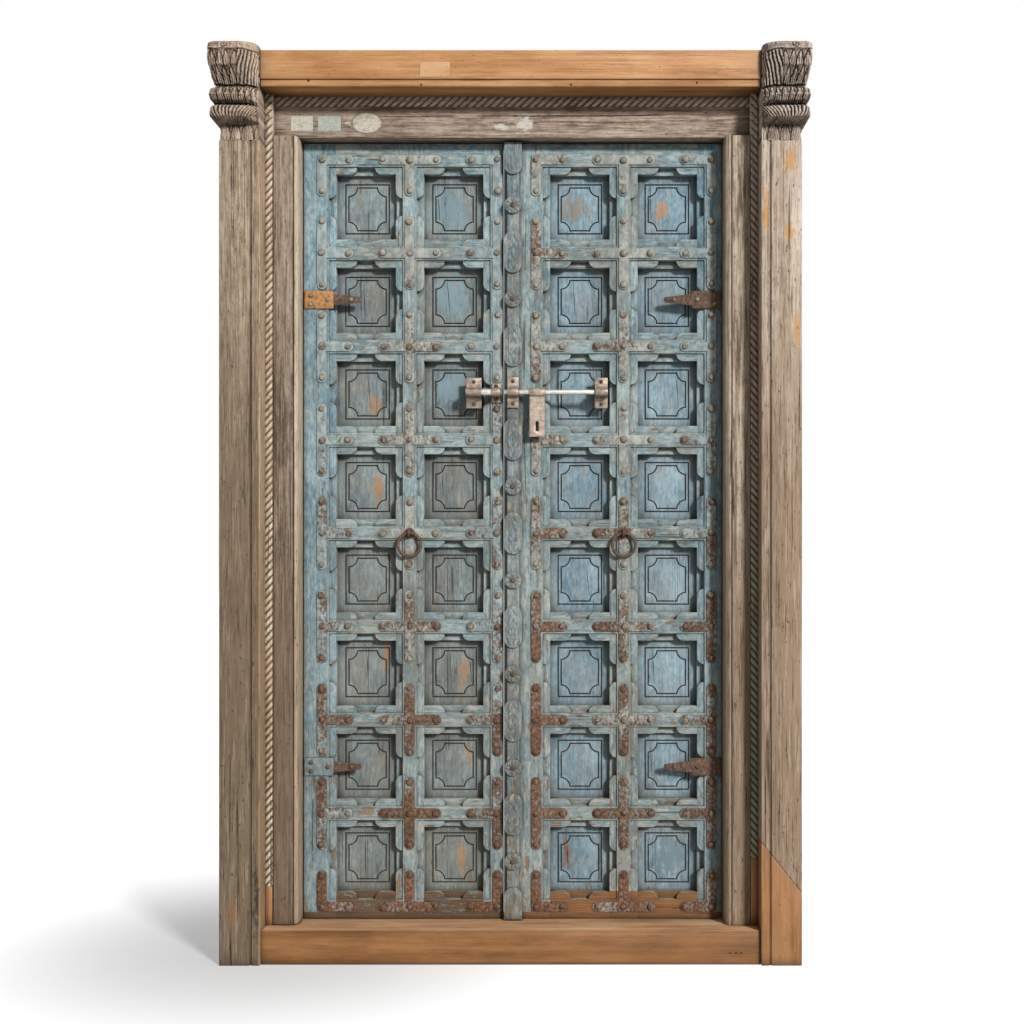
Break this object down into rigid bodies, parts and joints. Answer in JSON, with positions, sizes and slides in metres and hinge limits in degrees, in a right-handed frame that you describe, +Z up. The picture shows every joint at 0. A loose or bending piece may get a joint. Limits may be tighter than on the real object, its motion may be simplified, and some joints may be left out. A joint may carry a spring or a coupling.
{
  "type": "carved temple door",
  "caption": "Two-leaf carved temple door in its frame, with cusped lattice, iron straps, pull rings, a sliding bolt with a hasp, rope mouldings and carved capitals.",
  "frame": {"origin": "on the ground under the middle of the frame's box", "axes": "+Z up, -Y out of the carved front, +X to the right seen from the front"},
  "size_m": [1.442, 0.248, 2.208],
  "materials": {
    "weathered_teak": "weathered bare teak",
    "carved_teak": "dark carved teak",
    "new_pine": "new oiled pine",
    "blue_paint": "worn blue-grey paint on wood",
    "blue_paint_panels": "worn blue paint on planks",
    "rusty_iron": "rusted forged iron with old paint",
    "steel": "dull tarnished steel"
  },
  "bodies": {
    "frame": {"left_post": "weathered_teak", "right_post": "weathered_teak", "right_post_foot": "new_pine", "left_capital": "carved_teak", "right_capital": "carved_teak", "top_beam": "new_pine", "bottom_sill": "new_pine", "lintel": "weathered_teak", "left_jamb": "weathered_teak", "right_jamb": "weathered_teak", "left_rope_moulding": "carved_teak", "right_rope_moulding": "carved_teak", "top_rope_moulding": "carved_teak", "left_rope_foot": "new_pine", "right_rope_foot": "new_pine"},
    "left_leaf": {"left_outer_plank": "blue_paint_panels", "left_inner_plank": "blue_paint_panels", "left_outer_stile": "blue_paint", "left_middle_stile": "blue_paint", "left_meeting_stile": "blue_paint", "left_straps": "rusty_iron", "left_pivots": "steel", "left_hinge_straps": "rusty_iron", "left_ledges": "blue_paint_panels", "left_ring_staple": "rusty_iron", "left_rail_1": "blue_paint", "left_rail_2": "blue_paint", "left_rail_3": "blue_paint", "left_rail_4": "blue_paint", "left_rail_5": "blue_paint", "left_rail_6": "blue_paint", "left_rail_7": "blue_paint", "left_rail_8": "blue_paint", "left_rail_9": "blue_paint", "bolt_keeper": "steel"},
    "right_leaf": {"right_outer_plank": "blue_paint_panels", "right_inner_plank": "blue_paint_panels", "right_outer_stile": "blue_paint", "right_middle_stile": "blue_paint", "right_meeting_stile": "blue_paint", "right_straps": "rusty_iron", "right_pivots": "steel", "right_hinge_straps": "rusty_iron", "right_ledges": "blue_paint_panels", "right_ring_staple": "rusty_iron", "right_rail_1": "blue_paint", "right_rail_2": "blue_paint", "right_rail_3": "blue_paint", "right_rail_4": "blue_paint", "right_rail_5": "blue_paint", "right_rail_6": "blue_paint", "right_rail_7": "blue_paint", "right_rail_8": "blue_paint", "right_rail_9": "blue_paint", "astragal": "blue_paint", "bolt_guides": "steel"},
    "left_ring": {"left_pull_ring": "rusty_iron"},
    "right_ring": {"right_pull_ring": "rusty_iron"},
    "bolt": {"bolt_rod": "steel"},
    "hasp": {"hasp_flap": "steel"}
  },
  "joints": [
    {"name": "left_leaf_swing", "type": "hinge", "parent": "frame", "child": "left_leaf", "pos_m": [-0.494, 0.076, 1], "axis": [0, 0, 1], "range_deg": [0, 90]},
    {"name": "right_leaf_swing", "type": "hinge", "parent": "frame", "child": "right_leaf", "pos_m": [0.494, 0.076, 1], "axis": [0, 0, -1], "range_deg": [0, 90]},
    {"name": "left_ring_swing", "type": "hinge", "parent": "left_leaf", "child": "left_ring", "pos_m": [-0.256, 0.039, 1.04], "axis": [-1, 0, 0], "range_deg": [0, 80]},
    {"name": "right_ring_swing", "type": "hinge", "parent": "right_leaf", "child": "right_ring", "pos_m": [0.276, 0.039, 1.04], "axis": [-1, 0, 0], "range_deg": [0, 80]},
    {"name": "bolt_slide", "type": "slide", "parent": "right_leaf", "child": "bolt", "axis": [-1, 0, 0], "range_m": [0, 0.018]},
    {"name": "hasp_lift", "type": "hinge", "parent": "bolt", "child": "hasp", "pos_m": [0.0615, 0.025, 1.388], "axis": [-1, 0, 0], "range_deg": [0, 110]}
  ]
}
